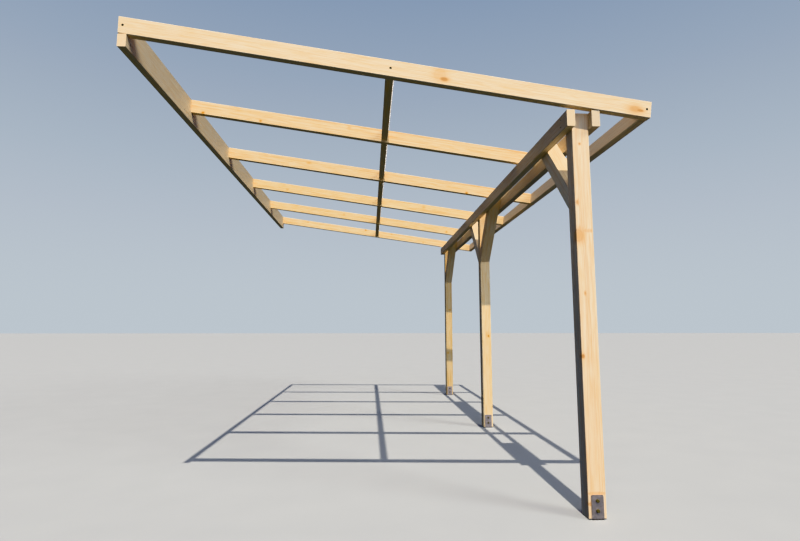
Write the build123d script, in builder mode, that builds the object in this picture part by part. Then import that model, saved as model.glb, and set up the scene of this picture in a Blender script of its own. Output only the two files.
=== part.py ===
"""Wall-mounted timber pergola with an open roof frame, in millimetres.

Seen from the open end, +X runs from the wall out to the eave, +Y runs along
the wall away from the viewer and +Z is up. The origin is the centre of the
wall plate's back face, the face that lies against the wall.
"""
from build123d import *
from math import cos, radians, sin, tan
import os

# Overall sizes
frame_length = 5000        # along the wall, over the outer rafters
projection = 2797          # from the wall to the top edge of the eave
plate_clear_height = 2357  # from the ground to the underside of the wall plate
roof_slope = 8             # degrees, falling away from the wall
eave_overhang = 286        # from the outer beam's face to the top edge of the eave

# Timber sections
plate_thickness = 44
plate_depth = 68
rafter_thickness = 44
rafter_depth = 90
nogging_thickness = 44
mid_nogging_depth = 75
beam_thickness = 44
beam_depth = 90
post_width = 90
brace_depth = 90
arris = 2                  # flat that eases the long edges of the planed timber

# Layout
rafter_count = 6
post_names = ("front", "middle", "rear")
post_inset = 55            # from the end of the frame to the outer posts
beam_setback = 5           # from the end of the frame to the beams' ends
brace_reach = 420          # along the beam, and down the post, of a brace's long edge
brace_angle = 45           # degrees above level

# Steel post shoes, folded from plate
shoe_plate = 4
shoe_width = 62
shoe_height = 118          # from the ground to the top of the flanges
shoe_bend = 3              # inside radius of the folds
shoe_corner = 8            # radius of the flanges' upper corners
shoe_clearance = 0.5       # between each flange and the post's face

# Holes, by their diameters
plate_fixing_hole = 11
plate_fixing_count = 7
plate_fixing_inset = 50    # from the ends of the wall plate
nogging_screw_hole = 6
nogging_screw_recess = 14  # for the screw's head, in the outer rafters' faces
nogging_screw_sinking = 10
beam_bolt_hole = 11
beam_bolt_rises = (26, 68)  # above the beams' underside
shoe_screw_hole = 11
shoe_screw_rises = (44, 91)  # above the ground
anchor_hole = 12
anchor_recess = 34         # for the anchor's nut, in the foot of the post
anchor_recess_height = 14

# Worked-out places
slope = radians(roof_slope)
front_end = -frame_length / 2
ground = -plate_depth / 2 - plate_clear_height
plate_top = plate_depth / 2
beam_outer_face = projection - eave_overhang
rafter_spacing = (frame_length - rafter_thickness) / (rafter_count - 1)
bay_clear = rafter_spacing - rafter_thickness
rafter_run = (projection - rafter_depth * sin(slope)) / cos(slope)


def roof_underside(x):
    """Height of the rafters' lower edge at the distance x from the wall."""
    return plate_top - (x - plate_thickness) * tan(slope)


def rafter_point(along, above):
    """Point above the rafters' lower edge, a distance along it back from the eave."""
    x = (rafter_run - along) * cos(slope)
    return (x + above * sin(slope), roof_underside(x) + above * cos(slope))


beam_top = roof_underside(beam_outer_face - arris)
beam_underside = beam_top - beam_depth
post_outer_face = beam_outer_face - beam_thickness
post_inner_face = post_outer_face - post_width
post_x = (post_inner_face + post_outer_face) / 2
first_post_y = front_end + post_inset + post_width / 2
post_places = dict(zip(post_names, (first_post_y, 0, -first_post_y)))

# Each row of noggings: its centre in X and Z, its depth and its tilt in degrees
nogging_rows = {
    "wall": ((nogging_thickness / 2, plate_top + rafter_depth / 2), rafter_depth, 0),
    "mid": (
        rafter_point(rafter_run / 2, rafter_depth - mid_nogging_depth / 2),
        mid_nogging_depth,
        roof_slope,
    ),
    "eave": (rafter_point(nogging_thickness / 2, rafter_depth / 2), rafter_depth, roof_slope),
}


def ease_edges(direction, kept=None):
    """Take the arris off the long edges, those along the given direction.

    Where kept is a direction too, the edge furthest that way stays sharp. The
    wall plate and its noggings meet at such edges, so that their joint closes.
    """
    long_edges = edges().filter_by(Axis((0, 0, 0), direction))
    if kept is not None:
        long_edges = long_edges.sort_by(Axis((0, 0, 0), kept))[:-1]
    chamfer(long_edges, length=arris)


def save(piece, name):
    """Label a finished piece and write it to its own file."""
    piece.part.label = name
    export_step(piece.part, f"parts/{name}.step")


def make_wall_plate():
    """The timber bolted to the wall, which carries the rafters' upper ends."""
    with BuildPart() as wall_plate:
        with Locations((plate_thickness / 2, 0, 0)):
            Box(plate_thickness, frame_length, plate_depth)
        ease_edges((0, 1, 0), kept=(1, 0, 1))
        fixing_run = frame_length - 2 * plate_fixing_inset
        with Locations(Plane.YZ):
            with GridLocations(fixing_run / (plate_fixing_count - 1), 0, plate_fixing_count, 1):
                Hole(plate_fixing_hole / 2)
    save(wall_plate, "wall_plate")


def bolt_through(post_y):
    """Holes along X at a post's centre line, through the beams and the post."""
    for rise in beam_bolt_rises:
        with Locations(Plane.YZ * Location((post_y, beam_underside + rise))):
            Hole(beam_bolt_hole / 2)


def make_rafter(number):
    """A sloping rafter, cut plumb against the wall and square at the eave.

    The outer two have a sunk screw hole on the line of each row of noggings.
    """
    rise = rafter_depth / cos(slope)
    rafter_front = front_end + (number - 1) * rafter_spacing
    with BuildPart() as rafter:
        with BuildSketch(Plane.XZ.offset(-rafter_front)):
            with BuildLine():
                Polyline(
                    (0, roof_underside(0)),
                    rafter_point(0, 0),
                    rafter_point(0, rafter_depth),
                    (0, roof_underside(0) + rise),
                    close=True,
                )
            make_face()
        extrude(amount=-rafter_thickness)
        ease_edges((cos(slope), 0, -sin(slope)))
        if number in (1, rafter_count):
            outward = -1 if number == 1 else 1
            for (x, _), _, _ in nogging_rows.values():
                face_point = (x, outward * frame_length / 2, roof_underside(x) + rise / 2)
                with Locations(Plane(face_point, z_dir=(0, outward, 0))):
                    CounterBoreHole(nogging_screw_hole / 2, nogging_screw_recess / 2, nogging_screw_sinking)
    save(rafter, f"rafter_{number}")


def make_nogging(row, bay):
    """A short timber that fills one bay between two rafters."""
    centre, depth, tilt = nogging_rows[row]
    bay_front = front_end + rafter_thickness + (bay - 1) * rafter_spacing
    with BuildPart() as nogging:
        with BuildSketch(Plane.XZ.offset(-bay_front)):
            with Locations(centre):
                Rectangle(nogging_thickness, depth, rotation=-tilt)
        extrude(amount=-bay_clear)
        ease_edges((0, 1, 0), kept=(1, 0, -1) if row == "wall" else None)
    save(nogging, f"{row}_nogging_{bay}")


def make_beam(name, inner_face):
    """One of the pair of level beams that clasp the posts."""
    beam_length = frame_length - 2 * beam_setback
    with BuildPart() as beam:
        with Locations((inner_face + beam_thickness / 2, 0, beam_top - beam_depth / 2)):
            Box(beam_thickness, beam_length, beam_depth)
        ease_edges((0, 1, 0))
        for post_y in post_places.values():
            bolt_through(post_y)
    save(beam, name)


def make_post(name, post_y):
    """A post that stands in its shoe and rises between the beams to their tops.

    Its foot is chamfered to clear the folds of the shoe and hollowed over the
    nut of the shoe's anchor.
    """
    foot = ground + shoe_plate
    with BuildPart() as post:
        with BuildSketch(Plane.XY.offset(foot)):
            with Locations((post_x, post_y)):
                Rectangle(post_width, post_width)
        extrude(amount=beam_top - foot)
        ease_edges((0, 0, 1))
        chamfer(faces().sort_by(Axis.Z)[0].edges().filter_by(Axis.X), length=shoe_bend)
        with BuildSketch(Plane.XY.offset(foot)):
            with Locations((post_x, post_y)):
                Circle(anchor_recess / 2)
        extrude(amount=anchor_recess_height, mode=Mode.SUBTRACT)
        bolt_through(post_y)
    save(post, f"post_{name}")


def make_brace(name, post_y, way):
    """A brace from a post's face up between the beams; way is +1 to the rear."""
    fall = tan(radians(brace_angle))
    tip = beam_underside - brace_reach * fall
    shoulder = tip + brace_depth / cos(radians(brace_angle))
    post_face = post_y + way * post_width / 2
    with BuildPart() as brace:
        with BuildSketch(Plane.YZ.offset(post_inner_face)):
            with BuildLine():
                Polyline(
                    (post_face, tip),
                    (post_face, shoulder),
                    (post_face + way * (beam_top - shoulder) / fall, beam_top),
                    (post_face + way * (beam_top - tip) / fall, beam_top),
                    close=True,
                )
            make_face()
        extrude(amount=post_width)
        ease_edges((0, cos(radians(brace_angle)), way * sin(radians(brace_angle))))
    save(brace, f"brace_{name}")


def make_shoe(name, post_y):
    """A shoe folded from plate: a base and a flange up the post's front and rear."""
    inside = post_width / 2 + shoe_clearance
    front_flange = post_y - inside
    rear_flange = post_y + inside
    floor = ground + shoe_plate
    flange_top = ground + shoe_height
    with BuildPart() as shoe:
        with BuildSketch(Plane.YZ.offset(post_x - shoe_width / 2)):
            with BuildLine():
                FilletPolyline(
                    (front_flange, flange_top),
                    (front_flange, floor),
                    (rear_flange, floor),
                    (rear_flange, flange_top),
                    radius=shoe_bend,
                )
                offset(amount=shoe_plate, side=Side.RIGHT)
            make_face()
        extrude(amount=shoe_width)
        fillet(edges().filter_by(Axis.Y).group_by(Axis.Z)[-1], radius=shoe_corner)
        for rise in shoe_screw_rises:
            with Locations(Plane.XZ * Location((post_x, ground + rise, -post_y))):
                Hole(shoe_screw_hole / 2)
        with Locations((post_x, post_y, floor)):
            Hole(anchor_hole / 2, depth=shoe_plate)
    save(shoe, f"post_shoe_{name}")


os.makedirs("parts", exist_ok=True)

make_wall_plate()
for rafter_number in range(1, rafter_count + 1):
    make_rafter(rafter_number)
for row_name in nogging_rows:
    for bay_number in range(1, rafter_count):
        make_nogging(row_name, bay_number)

make_beam("beam_inner", post_inner_face - beam_thickness)
make_beam("beam_outer", post_outer_face)

for place, post_centre in post_places.items():
    make_post(place, post_centre)
    make_shoe(place, post_centre)

make_brace("front_post", post_places["front"], 1)
make_brace("middle_post_front", post_places["middle"], -1)
make_brace("middle_post_rear", post_places["middle"], 1)
make_brace("rear_post", post_places["rear"], -1)
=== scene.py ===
"""Wall-mounted timber pergola: its planed pine, galvanised shoes, and the screws and bolts that hold it.

Lengths are in metres in the part's own frame: seen from the open end, +X runs
from the wall out to the eave, +Y along the wall away from the viewer, +Z up.
"""
import math
import random

import bmesh
import bpy
from mathutils import Matrix, Vector


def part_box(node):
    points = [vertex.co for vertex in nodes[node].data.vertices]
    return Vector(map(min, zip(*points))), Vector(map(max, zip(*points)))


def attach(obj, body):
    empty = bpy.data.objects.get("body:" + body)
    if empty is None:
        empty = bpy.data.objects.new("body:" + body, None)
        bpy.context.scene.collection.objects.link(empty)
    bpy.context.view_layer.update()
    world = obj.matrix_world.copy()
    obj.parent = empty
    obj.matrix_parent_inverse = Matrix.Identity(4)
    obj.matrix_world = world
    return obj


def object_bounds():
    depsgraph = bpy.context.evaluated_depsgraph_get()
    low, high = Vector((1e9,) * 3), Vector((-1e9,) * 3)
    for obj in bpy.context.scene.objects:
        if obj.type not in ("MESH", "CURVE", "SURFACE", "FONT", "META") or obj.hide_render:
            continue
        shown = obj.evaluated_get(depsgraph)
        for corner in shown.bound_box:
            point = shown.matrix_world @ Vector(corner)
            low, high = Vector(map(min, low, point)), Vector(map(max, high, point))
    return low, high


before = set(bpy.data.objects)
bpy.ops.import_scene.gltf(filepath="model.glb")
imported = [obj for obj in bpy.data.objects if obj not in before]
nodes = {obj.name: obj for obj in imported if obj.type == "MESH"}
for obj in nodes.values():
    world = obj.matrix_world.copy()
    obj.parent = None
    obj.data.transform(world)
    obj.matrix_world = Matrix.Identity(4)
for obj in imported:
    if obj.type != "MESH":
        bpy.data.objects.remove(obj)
cad_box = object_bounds()
MM = 0.001

# Camera, fitted to the photograph
CAMERA_PLACE = Vector((1.30035, -5.10184, -1.45699))
CAMERA_YAW = math.radians(3.27)    # to the right, towards +X
CAMERA_PITCH = math.radians(7.43)  # tilted up
CAMERA_LENS = 23.69
SENSOR_WIDTH = 36.0
CAMERA_SHIFT_Y = -0.0148
CAMERA_REACH = 400.0

# Directions that the timbers lie in
ROOF_SLOPE = math.radians(8)
DOWN_THE_ROOF = Vector((math.cos(ROOF_SLOPE), 0, -math.sin(ROOF_SLOPE)))
SQUARE_TO_ROOF = Vector((math.sin(ROOF_SLOPE), 0, math.cos(ROOF_SLOPE)))
FROM_WALL = Vector((1, 0, 0))
ALONG_WALL = Vector((0, 1, 0))
UP = Vector((0, 0, 1))
BRACE_ANGLE = math.radians(45)

# Places of the fixings, at the holes of the timbers and the shoes
BEAM_BOLT_RISES = (26 * MM, 68 * MM)   # above the beams' underside
SHOE_SCREW_RISES = (44 * MM, 91 * MM)  # above the ground
SHOE_PLATE = 4 * MM
PLATE_FIXING_COUNT = 7
PLATE_FIXING_INSET = 50 * MM
NOGGING_SCREW_SINKING = 10 * MM


def linear(colour):
    """Linear RGBA of an sRGB hex colour."""
    channels = [int(colour[start:start + 2], 16) / 255 for start in (1, 3, 5)]
    return [c / 12.92 if c <= 0.04045 else ((c + 0.055) / 1.055) ** 2.4 for c in channels] + [1.0]


def add(tree, kind, inputs=None, **settings):
    """Add a node with its settings. Each input takes a value, or a link from another node's output."""
    node = tree.nodes.new(kind)
    for name, value in settings.items():
        setattr(node, name, value)
    for name, value in (inputs or {}).items():
        if isinstance(value, bpy.types.NodeSocket):
            tree.links.new(value, node.inputs[name])
        else:
            node.inputs[name].default_value = value
    return node


def blend(tree, share, first, second):
    """The first colour, turned by a share into the second."""
    mixed = add(tree, "ShaderNodeMix", {"Factor": share, 6: first, 7: second}, data_type="RGBA")
    return mixed.outputs[2]


def maths(tree, operation, *values):
    """The number that an operation makes of its values."""
    return add(tree, "ShaderNodeMath", dict(enumerate(values)), operation=operation).outputs["Value"]


def combine(tree, operation, *values):
    """The vector that an operation makes of its values."""
    return add(tree, "ShaderNodeVectorMath", dict(enumerate(values)), operation=operation).outputs["Vector"]


def spread(tree, value, source=(0, 1), target=(0, 1), smooth=False):
    """Map a value from one range to another and hold it there; smooth softens both ends."""
    mapped = add(
        tree, "ShaderNodeMapRange",
        {
            "Value": value, "From Min": source[0], "From Max": source[1],
            "To Min": target[0], "To Max": target[1],
        },
        interpolation_type="SMOOTHSTEP" if smooth else "LINEAR",
    )
    return mapped.outputs["Result"]


def new_material(name):
    """An empty material and its node tree."""
    material = bpy.data.materials.new(name)
    material.use_nodes = True
    material.node_tree.nodes.clear()
    return material, material.node_tree


# Planed pine: bare redwood joinery timber, machined smooth. The eye sees pale
# cream earlywood, honey latewood lines that run with the grain and curve on
# the ends, long soft streaks, and orange knots with a glow round them.
EARLYWOOD = "#F3DCB6"
LATEWOOD = "#DCAA68"
STREAK = "#EFCB93"
END_GRAIN = "#EFCD9E"
KNOT_GLOW = "#EBAB47"
KNOT_HEART = "#C5842B"
PINE_ROUGHNESS = (0.5, 0.7)
PINE_IOR = 1.5
FIGURE_DEPTH = 0.3 * MM

# The pine's figure. Lengths along the grain are squashed, so that each pattern
# is drawn out along it. A rise says how strong a pattern is where its mark
# begins to show and where it shows in full.
RING_WIDTH = 7 * MM         # really 2 to 4 mm: drawn coarser so that the figure shows
RING_WAVES = 20 / math.tau  # rings that the texture draws to each unit of its scale
RING_SQUASH = 0.05
RING_BEND = 12 * MM         # how far the rings bend round a knot
LATEWOOD_RISE = (0.35, 1.0)
STREAK_WIDTH = 10 * MM
STREAK_SQUASH = 1 / 14
STREAK_RISE = (0.38, 0.72)
FIBRE_WIDTH = 3.5 * MM      # really 0.03 mm: drawn coarser, as bundles of fibres
FIBRE_SQUASH = 0.012
LINE_RISE = (0.4, 0.62)     # lines of latewood, where the fibres let it through
LINE_SHARE = (0.05, 0.85)
HAIR_LINE_RISE = (0.5, 0.68)
HAIR_LINE_SHARE = (0, 0.4)
END_FACE_RISE = (0.6, 0.8)  # cosine of the angle between a face's normal and the grain
END_GRAIN_SHARE = (0, 0.55)
POST_PITH = (15, 40)        # millimetres from the middle of a post to the log's pith
BOARD_PITH = (45, 110)      # the same for the other timbers
LOG_LENGTH = 9              # metres of log that each timber takes its place from

# The knots. Edges are distances from the middle, in the knot's own radii, where
# a mark begins to show and where it shows in full.
KNOT_DEPTH = 30 * MM
HEART_EDGES = (1.1, 0.45)
GLOW_EDGES = (2.1, 0.3)
GLOW_SHARE = 0.75           # strength of the glow, as a share of the knot's
RIMMED_KNOT = 25            # half width in millimetres beyond which a knot is paler within a rim
PALE_EDGES = (0.85, 0.55)
PALE_SHARE = 0.8

# Scattered knots: distance of the first from the timber's end, spacing and half
# width, all in millimetres, then how much longer than wide a knot is, its
# strength, and its furthest offset as a share of the timber's depth
FIRST_KNOT = (120, 420)
KNOT_SPACING = (350, 900)
KNOT_HALF_WIDTH = (5, 11)
KNOT_LENGTHENING = (1.0, 1.5)
KNOT_STRENGTH = (0.4, 0.9)
KNOT_OFFSET = 0.4

# Tones of the timbers, by the start of their names: hue, saturation and value. The braces' tones hold painted
# highlight and painted shade.
# Each timber then strays from its tone by a small amount of its own.
TONES = {
    "wall": (0.501, 0.88, 1.03),
    # The braces come as lit and shaded copies: those whose sunlit upper faces show are paler and yellower, a
    # painted highlight; those whose shaded lower faces show are deeper, a painted shade
    "brace_middle_post_front": (0.498, 1.05, 1.03),
    "brace_rear_post": (0.498, 1.05, 1.03),
    "brace": (0.508, 0.82, 1.05),
    "eave": (0.503, 0.74, 0.92),
    "beam_inner": (0.506, 0.87, 0.93),
    # The outer beam and the rear post are set much darker than the other timbers
    "beam_outer": (0.503, 0.80, 0.80),
    "post_rear": (0.499, 1.2, 0.74),
    "post_middle": (0.500, 1.04, 0.96),
    "post_front": (0.499, 0.88, 1.03),
    "rafter_1": (0.501, 0.96, 1.02),
    "rafter_2": (0.500, 1.06, 1.0),
    "rafter": (0.500, 1.12, 0.96),
}
PLAIN_TONE = (0.5, 1.0, 1.0)
HUE_STRAY = 0.002
SATURATION_STRAY = (0.97, 1.03)
VALUE_STRAY = (0.98, 1.01)

# Knots that show from the open end, in millimetres: distance from the wall end
# of a rafter, the front end of the wall plate or the top of a post, offset from
# the centre line, half length along the grain and half width across it, and
# last the strength. The longest and faintest is the front post's warm lower part.
KNOTS = {
    "rafter_1": (
        (1706, -14, 26, 14, 1.0), (1680, 8, 34, 36, 0.6),
        (2766, -13, 24, 10, 1.0), (2738, -10, 40, 22, 0.75),
    ),
    "rafter_2": ((138, -35, 12, 8, 0.9), (540, -30, 9, 8, 0.8), (1160, 20, 14, 10, 0.4)),
    "rafter_3": ((2197, -37, 12, 9, 0.9), (760, 18, 16, 12, 0.4)),
    "rafter_4": ((420, -20, 14, 12, 0.4), (1900, 16, 16, 14, 0.4)),
    "rafter_5": ((980, 10, 14, 13, 0.4), (2300, -18, 12, 12, 0.6)),
    "post_front": (
        (170, -8, 8, 6, 0.9), (490, -33, 14, 9, 0.75),
        (668, -37, 36, 30, 1.0), (642, 16, 8, 28, 0.65),
        (970, -12, 10, 6, 0.8), (1290, -38, 14, 10, 1.0), (1310, -14, 40, 34, 0.25),
        (1955, 0, 8, 50, 0.75), (2004, -34, 10, 16, 0.7), (1900, 0, 420, 60, 0.2),
    ),
    "wall_plate": ((900, -8, 9, 6, 0.4), (2300, 12, 9, 7, 0.5), (3900, 5, 9, 7, 0.5)),
    "post_middle": ((1227, 19, 14, 9, 0.9), (1215, 14, 26, 20, 0.3)),
    "post_rear": ((900, 12, 12, 13, 0.5), (1500, -20, 14, 14, 0.5)),
}


def lay_of(name):
    """Direction of a timber's grain, and of its depth across the grain."""
    if name.startswith("rafter"):
        return DOWN_THE_ROOF, SQUARE_TO_ROOF
    if name.startswith(("mid_nogging", "eave_nogging")):
        return ALONG_WALL, SQUARE_TO_ROOF
    if name.startswith("post"):
        return -UP, FROM_WALL
    if name in ("brace_front_post", "brace_middle_post_rear"):
        return slanted(1)
    if name.startswith("brace"):
        return slanted(-1)
    return ALONG_WALL, UP


def slanted(way):
    """Grain and depth of a brace that rises away from its post, to the rear for +1."""
    rise = math.sin(BRACE_ANGLE)
    run = way * math.cos(BRACE_ANGLE)
    return Vector((0, run, rise)), Vector((0, -way * rise, abs(run)))


def tone_of(name):
    """Hue, saturation and value of a timber: the first entry that its name starts with."""
    for start, tone in TONES.items():
        if name.startswith(start):
            return tone
    return PLAIN_TONE


def reach(node, direction):
    """Lowest and highest measure of a node's points along a direction."""
    measures = [vertex.co.dot(direction) for vertex in node.data.vertices]
    return min(measures), max(measures)


def scattered_knots(length, depth, chance):
    """Knots for the other timbers, one to about each 600 mm."""
    knots = []
    place = chance.uniform(*FIRST_KNOT)
    while place < length / MM:
        half_wide = chance.uniform(*KNOT_HALF_WIDTH)
        offset = chance.uniform(-KNOT_OFFSET, KNOT_OFFSET) * depth / MM
        half_long = half_wide * chance.uniform(*KNOT_LENGTHENING)
        knots.append((place, offset, half_long, half_wide, chance.uniform(*KNOT_STRENGTH)))
        place += chance.uniform(*KNOT_SPACING)
    return knots


def planed_pine(name):
    """The material of one timber, cut from its own place in the log."""
    node = nodes[name]
    chance = random.Random(name)
    material, tree = new_material(f"planed pine, {name}")

    # Places in the timber: through it, across it and along its grain from one end
    grain, across = lay_of(name)
    through = across.cross(grain)
    start, end = reach(node, grain)
    depth = reach(node, across)
    thickness = reach(node, through)
    corner = grain * start + across * sum(depth) / 2 + through * sum(thickness) / 2
    turn = Matrix((through, across, grain)).transposed().to_euler()
    where = add(tree, "ShaderNodeTexCoord")
    board = add(
        tree, "ShaderNodeMapping",
        {"Vector": where.outputs["Object"], "Location": corner, "Rotation": turn},
        vector_type="TEXTURE",
    ).outputs["Vector"]

    near_face = -(thickness[1] - thickness[0]) / 2
    knots = KNOTS.get(name) or scattered_knots(end - start, depth[1] - depth[0], chance)
    heart, glow = knot_masks(tree, board, near_face, knots)

    # Growth rings round the pith, which lies within a post and further out in the other timbers
    pith_distance = chance.uniform(*(POST_PITH if name.startswith("post") else BOARD_PITH)) * MM
    pith_angle = chance.uniform(0, 2 * math.pi)
    pith = (
        pith_distance * math.cos(pith_angle), pith_distance * math.sin(pith_angle),
        chance.uniform(0, LOG_LENGTH),
    )
    bent = combine(tree, "MULTIPLY_ADD", glow, (0, RING_BEND, 0), board)
    log = combine(tree, "ADD", bent, pith)
    rings = add(
        tree, "ShaderNodeTexWave",
        {
            "Vector": combine(tree, "MULTIPLY", log, (1, 1, RING_SQUASH)),
            "Scale": 1 / (RING_WAVES * RING_WIDTH),
            "Distortion": 7.0, "Detail": 3.0, "Detail Scale": 0.35, "Detail Roughness": 0.5,
        },
        wave_type="RINGS", rings_direction="Z", wave_profile="SAW",
    )
    latewood = spread(tree, rings.outputs["Fac"], LATEWOOD_RISE, smooth=True)
    streaks = add(
        tree, "ShaderNodeTexNoise",
        {
            "Vector": combine(tree, "MULTIPLY", bent, (1, 1, STREAK_SQUASH)), "Scale": 1 / STREAK_WIDTH,
            "Detail": 4.0, "Roughness": 0.6, "Distortion": 0.6,
        },
    )
    streak = spread(tree, streaks.outputs["Fac"], STREAK_RISE, smooth=True)
    fibres = add(
        tree, "ShaderNodeTexNoise",
        {
            "Vector": combine(tree, "MULTIPLY", log, (1, 1, FIBRE_SQUASH)), "Scale": 1 / FIBRE_WIDTH,
            "Detail": 3.0, "Roughness": 0.65,
        },
    ).outputs["Fac"]

    # The latewood breaks up into lines of fibres, and hair lines run all over
    lines = spread(tree, fibres, LINE_RISE, LINE_SHARE)
    hair_lines = spread(tree, fibres, HAIR_LINE_RISE, HAIR_LINE_SHARE)
    dark = maths(tree, "MAXIMUM", maths(tree, "MULTIPLY", latewood, lines), hair_lines)
    along_grain = add(
        tree, "ShaderNodeVectorMath", {0: where.outputs["Normal"], 1: grain}, operation="DOT_PRODUCT",
    )
    end_face = maths(tree, "ABSOLUTE", along_grain.outputs["Value"])
    end_share = spread(tree, end_face, END_FACE_RISE, END_GRAIN_SHARE)
    colour = blend(tree, streak, linear(EARLYWOOD), linear(STREAK))
    colour = blend(tree, dark, colour, linear(LATEWOOD))
    colour = blend(tree, end_share, colour, linear(END_GRAIN))
    colour = blend(tree, glow, colour, linear(KNOT_GLOW))
    colour = blend(tree, heart, colour, linear(KNOT_HEART))
    hue, saturation, value = tone_of(name)
    toned = add(
        tree, "ShaderNodeHueSaturation",
        {
            "Color": colour, "Hue": hue + chance.uniform(-HUE_STRAY, HUE_STRAY),
            "Saturation": saturation * chance.uniform(*SATURATION_STRAY),
            "Value": value * chance.uniform(*VALUE_STRAY),
        },
    )

    height = maths(tree, "ADD", fibres, latewood)
    relief = add(tree, "ShaderNodeBump", {"Height": height, "Strength": 0.25, "Distance": FIGURE_DEPTH})
    surface = add(
        tree, "ShaderNodeBsdfPrincipled",
        {
            "Base Color": toned.outputs["Color"], "Roughness": spread(tree, fibres, target=PINE_ROUGHNESS),
            "Normal": relief.outputs["Normal"], "IOR": PINE_IOR,
        },
    )
    add(tree, "ShaderNodeOutputMaterial", {"Surface": surface.outputs["BSDF"]})
    return material


def knot_masks(tree, board, near_face, knots):
    """Two masks over the board: the knots' dark hearts, and the glow round them.

    Each knot is an ellipsoid in one wide face, which on a rafter or a post is
    the one that looks to the open end.
    """
    hearts, glows = 0.0, 0.0
    for along, offset, half_long, half_wide, strength in knots:
        from_middle = combine(tree, "SUBTRACT", board, (near_face, offset * MM, along * MM))
        to_radii = (1 / KNOT_DEPTH, 1 / (half_wide * MM), 1 / (half_long * MM))
        in_radii = combine(tree, "MULTIPLY", from_middle, to_radii)
        distance = add(tree, "ShaderNodeVectorMath", {0: in_radii}, operation="LENGTH").outputs["Value"]
        dark = strength ** 2
        heart = spread(tree, distance, HEART_EDGES, (0, dark), smooth=True)
        if half_wide > RIMMED_KNOT:
            pale = spread(tree, distance, PALE_EDGES, (0, dark * PALE_SHARE), smooth=True)
            heart = maths(tree, "SUBTRACT", heart, pale)
        glow = spread(tree, distance, GLOW_EDGES, (0, strength * GLOW_SHARE), smooth=True)
        hearts = maths(tree, "MAXIMUM", hearts, heart)
        glows = maths(tree, "MAXIMUM", glows, glow)
    return hearts, glows


# Galvanised steel: folded plate dipped in zinc. The eye sees dull grey
# crystals of slightly different brightness, and a broad soft shine.
ZINC_LIGHT = "#C3B4AC"
ZINC_DARK = "#968780"
SPANGLE_WIDTH = 9 * MM
STAIN_WIDTH = 35 * MM
ZINC_RELIEF = 0.1 * MM
ZINC_ROUGHNESS = (0.46, 0.58)


def galvanised_steel():
    """The finish of the folded post shoes."""
    material, tree = new_material("galvanised steel")
    where = add(tree, "ShaderNodeTexCoord")
    spangles = add(
        tree, "ShaderNodeTexVoronoi",
        {"Vector": where.outputs["Object"], "Scale": 1 / SPANGLE_WIDTH, "Randomness": 1.0},
    )
    crystal = add(tree, "ShaderNodeSeparateColor", {"Color": spangles.outputs["Color"]})
    stains = add(
        tree, "ShaderNodeTexNoise",
        {"Vector": where.outputs["Object"], "Scale": 1 / STAIN_WIDTH, "Detail": 4.0, "Roughness": 0.6},
    )
    tone = maths(tree, "MULTIPLY", crystal.outputs["Red"], stains.outputs["Fac"])
    relief = add(
        tree, "ShaderNodeBump",
        {"Height": crystal.outputs["Blue"], "Strength": 0.08, "Distance": ZINC_RELIEF},
    )
    surface = add(
        tree, "ShaderNodeBsdfPrincipled",
        {
            "Base Color": blend(tree, tone, linear(ZINC_LIGHT), linear(ZINC_DARK)), "Metallic": 1.0,
            "Roughness": spread(tree, crystal.outputs["Green"], target=ZINC_ROUGHNESS),
            "Normal": relief.outputs["Normal"],
        },
    )
    add(tree, "ShaderNodeOutputMaterial", {"Surface": surface.outputs["BSDF"]})
    return material


# Coated steel: outdoor screws and bolts with a baked olive coating. The eye
# sees small dark heads with a satin shine.
COATING_OLIVE = "#544B28"
COATING_WORN = "#6E6547"
WEAR_WIDTH = 2 * MM
WEAR_RISE = (0.55, 0.75)
COATING_RELIEF = 0.1 * MM
COATING_ROUGHNESS = (0.34, 0.5)
COATING_IOR = 1.5


def coated_steel():
    """The finish of the screws, bolts and washers."""
    material, tree = new_material("olive coated steel")
    where = add(tree, "ShaderNodeTexCoord")
    grit = add(
        tree, "ShaderNodeTexNoise",
        {"Vector": where.outputs["Object"], "Scale": 1 / WEAR_WIDTH, "Detail": 4.0, "Roughness": 0.6},
    ).outputs["Fac"]
    wear = spread(tree, grit, WEAR_RISE)
    relief = add(tree, "ShaderNodeBump", {"Height": grit, "Strength": 0.1, "Distance": COATING_RELIEF})
    surface = add(
        tree, "ShaderNodeBsdfPrincipled",
        {
            "Base Color": blend(tree, wear, linear(COATING_OLIVE), linear(COATING_WORN)),
            "Roughness": spread(tree, grit, target=COATING_ROUGHNESS),
            "Normal": relief.outputs["Normal"], "IOR": COATING_IOR,
        },
    )
    add(tree, "ShaderNodeOutputMaterial", {"Surface": surface.outputs["BSDF"]})
    return material


# Sizes of the fixings
HEX_WIDTH = 15 * MM          # across the flats, on a 10 mm screw
HEX_HEIGHT = 6.4 * MM
HEX_CHAMFER = 1 * MM
WASHER_RADIUS = 8.8 * MM
WASHER_THICKNESS = 1.6 * MM
WASHER_EASE = 0.3 * MM
SHANK_RADIUS = 5 * MM
SCREW_HEAD_RADIUS = 6.6 * MM
SCREW_HEAD_HEIGHT = 7.5 * MM
PLUG_HEAD_RADIUS = 5.3 * MM  # on the bolts whose heads are sunk in their own holes
PLUG_HEAD_HEIGHT = 8 * MM
PLUG_HEAD_SINKING = 1 * MM
HEAD_UNDER_EASE = 0.6 * MM   # bevel of a round head's lower rim
HEAD_TOP_EASE = 1 * MM       # its upper rim is rounded in two steps within this width
SOCKET_RADIUS = 2.4 * MM
SOCKET_DEPTH = 2 * MM
SOCKET_LIP = 0.9 * MM        # width of the slight slope round the socket
SOCKET_LIP_DEPTH = 0.2 * MM
SOCKET_POINTS = 6
SOCKET_LOBE = 0.16           # how far the star's points stand out, as a share of the radius
ROUND_SIDES = 36


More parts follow.
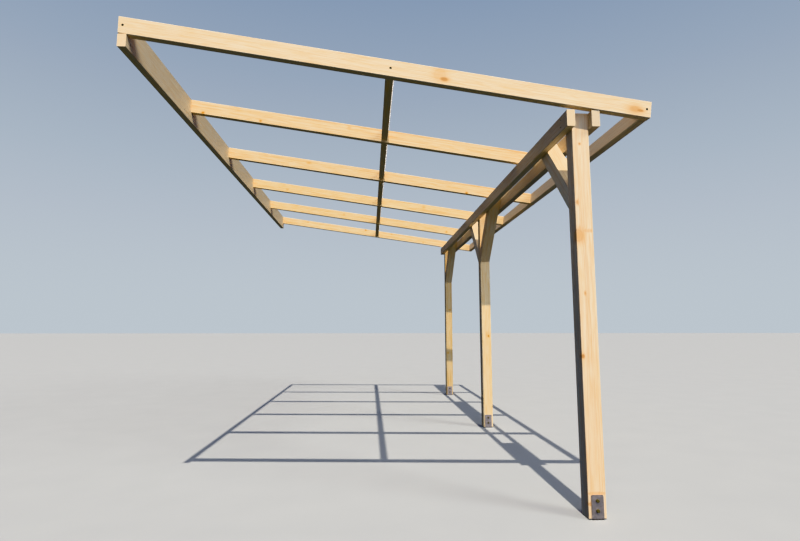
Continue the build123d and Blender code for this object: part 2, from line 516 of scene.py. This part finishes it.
def turn_about(mesh, profile, place, outward, sides=ROUND_SIDES):
    """Turn a profile about an axis that starts at place and points outward.

    Each point of the profile is a radius, a height along the axis and, where
    the ring is a star, how far its points stand out.
    """
    setting = Matrix.Translation(place) @ outward.to_track_quat("Z", "Y").to_matrix().to_4x4()
    rings = []
    for radius, height, *lobe in profile:
        ring = []
        for side in range(sides):
            angle = 2 * math.pi * side / sides
            reached = radius * (1 + (lobe[0] if lobe else 0) * math.cos(SOCKET_POINTS * angle))
            point = Vector((reached * math.cos(angle), reached * math.sin(angle), height))
            ring.append(mesh.verts.new(setting @ point))
        rings.append(ring)
    for lower, upper in zip(rings, rings[1:]):
        for side in range(sides):
            after = (side + 1) % sides
            mesh.faces.new((lower[side], lower[after], upper[after], upper[side]))
    mesh.faces.new(list(reversed(rings[0])))
    mesh.faces.new(rings[-1])


def add_washer(mesh, place, outward):
    """A flat washer with eased edges."""
    turn_about(
        mesh,
        (
            (WASHER_RADIUS - WASHER_EASE, 0), (WASHER_RADIUS, WASHER_EASE),
            (WASHER_RADIUS, WASHER_THICKNESS - WASHER_EASE), (WASHER_RADIUS - WASHER_EASE, WASHER_THICKNESS),
        ),
        place, outward,
    )


def add_hexagon(mesh, place, outward):
    """A hexagon head, chamfered at its outer corners, seated on a washer."""
    add_washer(mesh, place, outward)
    corner = HEX_WIDTH / math.sqrt(3)
    turn_about(
        mesh,
        (
            (corner, WASHER_THICKNESS), (corner, WASHER_THICKNESS + HEX_HEIGHT - HEX_CHAMFER / 2),
            (corner - HEX_CHAMFER, WASHER_THICKNESS + HEX_HEIGHT),
        ),
        place, outward, sides=6,
    )


def add_shank(mesh, place, outward, deep):
    """A plain shank that runs back from a face into its hole."""
    turn_about(mesh, ((SHANK_RADIUS, 0), (SHANK_RADIUS, deep)), place, -outward)


def add_star_head(mesh, place, outward, rim, top):
    """A round head with a rounded rim and a star socket, its underside at place."""
    under, over = HEAD_UNDER_EASE, HEAD_TOP_EASE
    bottom = top - SOCKET_DEPTH
    turn_about(
        mesh,
        (
            (rim / 2, 0), (rim - under, 0), (rim, under),
            (rim, top - 0.9 * over), (rim - 0.3 * over, top - 0.3 * over), (rim - over, top),
            (SOCKET_RADIUS + SOCKET_LIP, top), (SOCKET_RADIUS, top - SOCKET_LIP_DEPTH, SOCKET_LOBE),
            (SOCKET_RADIUS, bottom, SOCKET_LOBE), (SOCKET_RADIUS / 2, bottom),
        ),
        place, outward,
    )


def add_plug_bolt(mesh, place, outward, deep):
    """A bolt whose narrow head sits just below the face, in the bolt's own hole."""
    seat = place - outward * (PLUG_HEAD_SINKING + PLUG_HEAD_HEIGHT)
    add_star_head(mesh, seat, outward, PLUG_HEAD_RADIUS, PLUG_HEAD_HEIGHT)
    add_shank(mesh, seat, outward, deep - PLUG_HEAD_SINKING - PLUG_HEAD_HEIGHT)


def finish_fixings(name, mesh, material):
    """Turn the gathered shapes into one named piece that rides on the frame."""
    bmesh.ops.recalc_face_normals(mesh, faces=mesh.faces)
    data = bpy.data.meshes.new(name)
    mesh.to_mesh(data)
    mesh.free()
    piece = bpy.data.objects.new(name, data)
    bpy.context.scene.collection.objects.link(piece)
    data.materials.append(material)
    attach(piece, "root")
    return piece


def middle(name):
    """Centre of a node's box."""
    low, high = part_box(name)
    return (low + high) / 2


def make_plate_fixings(material):
    """Bolts that hold the wall plate to the wall."""
    mesh = bmesh.new()
    low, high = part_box("wall_plate")
    first = low.y + PLATE_FIXING_INSET
    spacing = (high.y - low.y - 2 * PLATE_FIXING_INSET) / (PLATE_FIXING_COUNT - 1)
    for number in range(PLATE_FIXING_COUNT):
        place = Vector((high.x, first + number * spacing, 0))
        add_plug_bolt(mesh, place, FROM_WALL, high.x - low.x)
    return finish_fixings("plate_fixings", mesh, material)


def make_nogging_screws(rafter, outward, material):
    """Screws sunk in an outer rafter, one into each row of noggings."""
    mesh = bmesh.new()
    low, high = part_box(rafter)
    face_y = high.y if outward.y > 0 else low.y
    seat_y = face_y - outward.y * NOGGING_SCREW_SINKING
    centre_line = sum(reach(nodes[rafter], SQUARE_TO_ROOF)) / 2
    for row in ("wall", "mid", "eave"):
        centre_x = middle(f"{row}_nogging_1").x
        height = (centre_line - centre_x * math.sin(ROOF_SLOPE)) / math.cos(ROOF_SLOPE)
        seat = Vector((centre_x, seat_y, height))
        add_star_head(mesh, seat, outward, SCREW_HEAD_RADIUS, SCREW_HEAD_HEIGHT)
    return finish_fixings(f"nogging_screws_{rafter}", mesh, material)


def make_beam_bolts(place_name, material):
    """Two bolts through both beams and a post, with a narrow head at each end."""
    mesh = bmesh.new()
    inner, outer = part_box("beam_inner"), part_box("beam_outer")
    post_y = middle(f"post_{place_name}").y
    for rise in BEAM_BOLT_RISES:
        height = inner[0].z + rise
        inner_end = Vector((inner[0].x, post_y, height))
        outer_end = Vector((outer[1].x, post_y, height))
        half = (outer_end - inner_end).length / 2
        add_plug_bolt(mesh, inner_end, -FROM_WALL, half)
        add_plug_bolt(mesh, outer_end, FROM_WALL, half)
    return finish_fixings(f"beam_bolts_{place_name}", mesh, material)


def make_shoe_screws(place_name, material):
    """Coach screws through a shoe's flanges into the post, two from the front and two from the rear."""
    mesh = bmesh.new()
    low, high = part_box(f"post_shoe_{place_name}")
    centre_x = (low.x + high.x) / 2
    for face_y, outward in ((low.y, -ALONG_WALL), (high.y, ALONG_WALL)):
        for rise in SHOE_SCREW_RISES:
            place = Vector((centre_x, face_y, low.z + rise))
            add_hexagon(mesh, place, outward)
            add_shank(mesh, place, outward, SHOE_PLATE)
    return finish_fixings(f"shoe_screws_{place_name}", mesh, material)


# Studio: a pale floor, a small high sun from the front, a soft lamp each from
# the eave's side, the front, the rear and the wall's side, and air that gives a
# different light from each side. The floor is trowelled plaster, in which the
# eye sees a faint mottle.
FLOOR_PALE = "#A8ABB0"
FLOOR_MOTTLE = "#AEB1B5"
MOTTLE_SCALE = 3.0   # patches to a metre
FLOOR_ROUGHNESS = 0.9
FLOOR_SIZE = 160.0
SUN_TRAVEL = Vector((0.004, 0.479, -0.878))
SUN_STRENGTH = 4.2
SUN_COLOUR = "#FFF4DF"
SUN_WIDTH = math.radians(0.6)
SIDE_TRAVEL = Vector((-0.70, 0.50, -0.50))
SIDE_STRENGTH = 1.8
SIDE_COLOUR = "#FCFDF0"
SIDE_WIDTH = math.radians(22)
FRONT_TRAVEL = Vector((0, 0.94, -0.34))
FRONT_STRENGTH = 1.33
FRONT_COLOUR = "#CFE0FF"
FRONT_WIDTH = math.radians(70)
REAR_TRAVEL = Vector((-0.42, -0.86, -0.28))
REAR_STRENGTH = 1.6
REAR_COLOUR = "#FBFDFF"
REAR_WIDTH = math.radians(30)
WALL_TRAVEL = Vector((0.90, -0.30, -0.30))
WALL_STRENGTH = 1.4
WALL_COLOUR = "#FBFDFF"
WALL_WIDTH = math.radians(10)
AIR = (
    (-ALONG_WALL, "#1C1C1C"),
    (ALONG_WALL, "#454B66"),
    (FROM_WALL, "#2E4676"),
    (-FROM_WALL, "#3B5376"),
    (UP, "#40486C"),
    (-UP, "#5D6048"),
)
BACKDROP_LOW = "#C2CBD3"
BACKDROP_HIGH = "#7C93B2"
BACKDROP_TOP = 0.8   # sine of the height at which the high tone is reached


def make_floor():
    """The plain floor at the foot of the shoes."""
    ground = cad_box[0].z
    material, tree = new_material("pale plaster floor")
    where = add(tree, "ShaderNodeTexCoord")
    mottle = add(
        tree, "ShaderNodeTexNoise", {"Vector": where.outputs["Object"], "Scale": MOTTLE_SCALE, "Detail": 5.0},
    )
    colour = blend(tree, mottle.outputs["Fac"], linear(FLOOR_PALE), linear(FLOOR_MOTTLE))
    surface = add(tree, "ShaderNodeBsdfPrincipled", {"Base Color": colour, "Roughness": FLOOR_ROUGHNESS})
    add(tree, "ShaderNodeOutputMaterial", {"Surface": surface.outputs["BSDF"]})
    half = FLOOR_SIZE / 2
    mesh = bmesh.new()
    outline = ((-half, -half), (half, -half), (half, half), (-half, half))
    mesh.faces.new([mesh.verts.new((x, y, ground)) for x, y in outline])
    data = bpy.data.meshes.new("floor")
    mesh.to_mesh(data)
    mesh.free()
    data.materials.append(material)
    floor = bpy.data.objects.new("floor", data)
    bpy.context.scene.collection.objects.link(floor)
    floor.visible_diffuse = False
    floor.visible_glossy = False
    floor.visible_shadow = False


def make_sun(name, travel, strength, colour, width):
    """A distant lamp whose light travels one way; its width is an angle, and softens the shadows."""
    light = bpy.data.lights.new(name, "SUN")
    light.energy = strength
    light.color = linear(colour)[:3]
    light.angle = width
    lamp = bpy.data.objects.new(name, light)
    lamp.rotation_euler = travel.to_track_quat("-Z", "Y").to_euler()
    bpy.context.scene.collection.objects.link(lamp)
    return lamp


def light_only(lamp, pieces):
    """Let a lamp reach these pieces and no others."""
    reached = bpy.data.collections.new(f"lit by the {lamp.name}")
    for piece in pieces:
        reached.objects.link(piece)
    lamp.light_linking.receiver_collection = reached


def make_air():
    """Light from all round, each side's strongest from its middle, and a plain backdrop."""
    world = bpy.data.worlds.new("studio air")
    bpy.context.scene.world = world
    world.use_nodes = True
    tree = world.node_tree
    tree.nodes.clear()
    looking = add(tree, "ShaderNodeTexCoord").outputs["Generated"]
    light = (0.0, 0.0, 0.0)
    for side, colour in AIR:
        facing = add(tree, "ShaderNodeVectorMath", {0: looking, 1: side}, operation="DOT_PRODUCT")
        facing = maths(tree, "MAXIMUM", facing.outputs["Value"], 0.0)
        share = maths(tree, "POWER", facing, 2.0)
        light = combine(tree, "MULTIPLY_ADD", share, linear(colour)[:3], light)
    height = add(tree, "ShaderNodeSeparateXYZ", {"Vector": looking}).outputs["Z"]
    above = spread(tree, height, (0, BACKDROP_TOP), smooth=True)
    backdrop = blend(tree, above, linear(BACKDROP_LOW), linear(BACKDROP_HIGH))
    seen = add(tree, "ShaderNodeLightPath").outputs["Is Camera Ray"]
    glow = add(
        tree, "ShaderNodeBackground", {"Color": blend(tree, seen, light, backdrop), "Strength": 1.0},
    )
    add(tree, "ShaderNodeOutputWorld", {"Surface": glow.outputs["Background"]})


def make_camera():
    """The camera at the photograph's viewpoint."""
    data = bpy.data.cameras.new("camera")
    data.sensor_width = SENSOR_WIDTH
    data.lens = CAMERA_LENS
    data.shift_y = CAMERA_SHIFT_Y
    data.clip_end = CAMERA_REACH
    camera = bpy.data.objects.new("camera", data)
    camera.location = CAMERA_PLACE
    looking = Vector((
        math.sin(CAMERA_YAW) * math.cos(CAMERA_PITCH),
        math.cos(CAMERA_YAW) * math.cos(CAMERA_PITCH),
        math.sin(CAMERA_PITCH),
    ))
    camera.rotation_euler = looking.to_track_quat("-Z", "Y").to_euler()
    bpy.context.scene.collection.objects.link(camera)
    bpy.context.scene.camera = camera


make_camera()
zinc = galvanised_steel()
coating = coated_steel()
plate_pine = planed_pine("wall_plate")
for node_name, timber in nodes.items():
    if node_name.startswith("post_shoe"):
        finish = zinc
    elif node_name.startswith("wall"):
        finish = plate_pine
    else:
        finish = planed_pine(node_name)
    for material_slot in timber.material_slots:
        material_slot.material = finish

fixings = [
    make_plate_fixings(coating),
    make_nogging_screws("rafter_1", -ALONG_WALL, coating),
    make_nogging_screws("rafter_6", ALONG_WALL, coating),
]
for post_place in ("front", "middle", "rear"):
    fixings.append(make_beam_bolts(post_place, coating))
    fixings.append(make_shoe_screws(post_place, coating))

make_floor()
make_sun("sun", SUN_TRAVEL, SUN_STRENGTH, SUN_COLOUR, SUN_WIDTH)
make_sun("side light", SIDE_TRAVEL, SIDE_STRENGTH, SIDE_COLOUR, SIDE_WIDTH)
make_sun("front light", FRONT_TRAVEL, FRONT_STRENGTH, FRONT_COLOUR, FRONT_WIDTH)
rear_light = make_sun("rear light", REAR_TRAVEL, REAR_STRENGTH, REAR_COLOUR, REAR_WIDTH)
wall_light = make_sun("wall light", WALL_TRAVEL, WALL_STRENGTH, WALL_COLOUR, WALL_WIDTH)

# The last two lamps light only faces that don't show from the camera's
# viewpoint, and keep the other sides from being black
light_only(rear_light, [node for name, node in nodes.items() if not name.startswith("wall")] + fixings)
light_only(wall_light, [node for name, node in nodes.items() if name.startswith(("wall", "rafter"))])
make_air()
bpy.context.scene.view_settings.view_transform = "Khronos PBR Neutral"
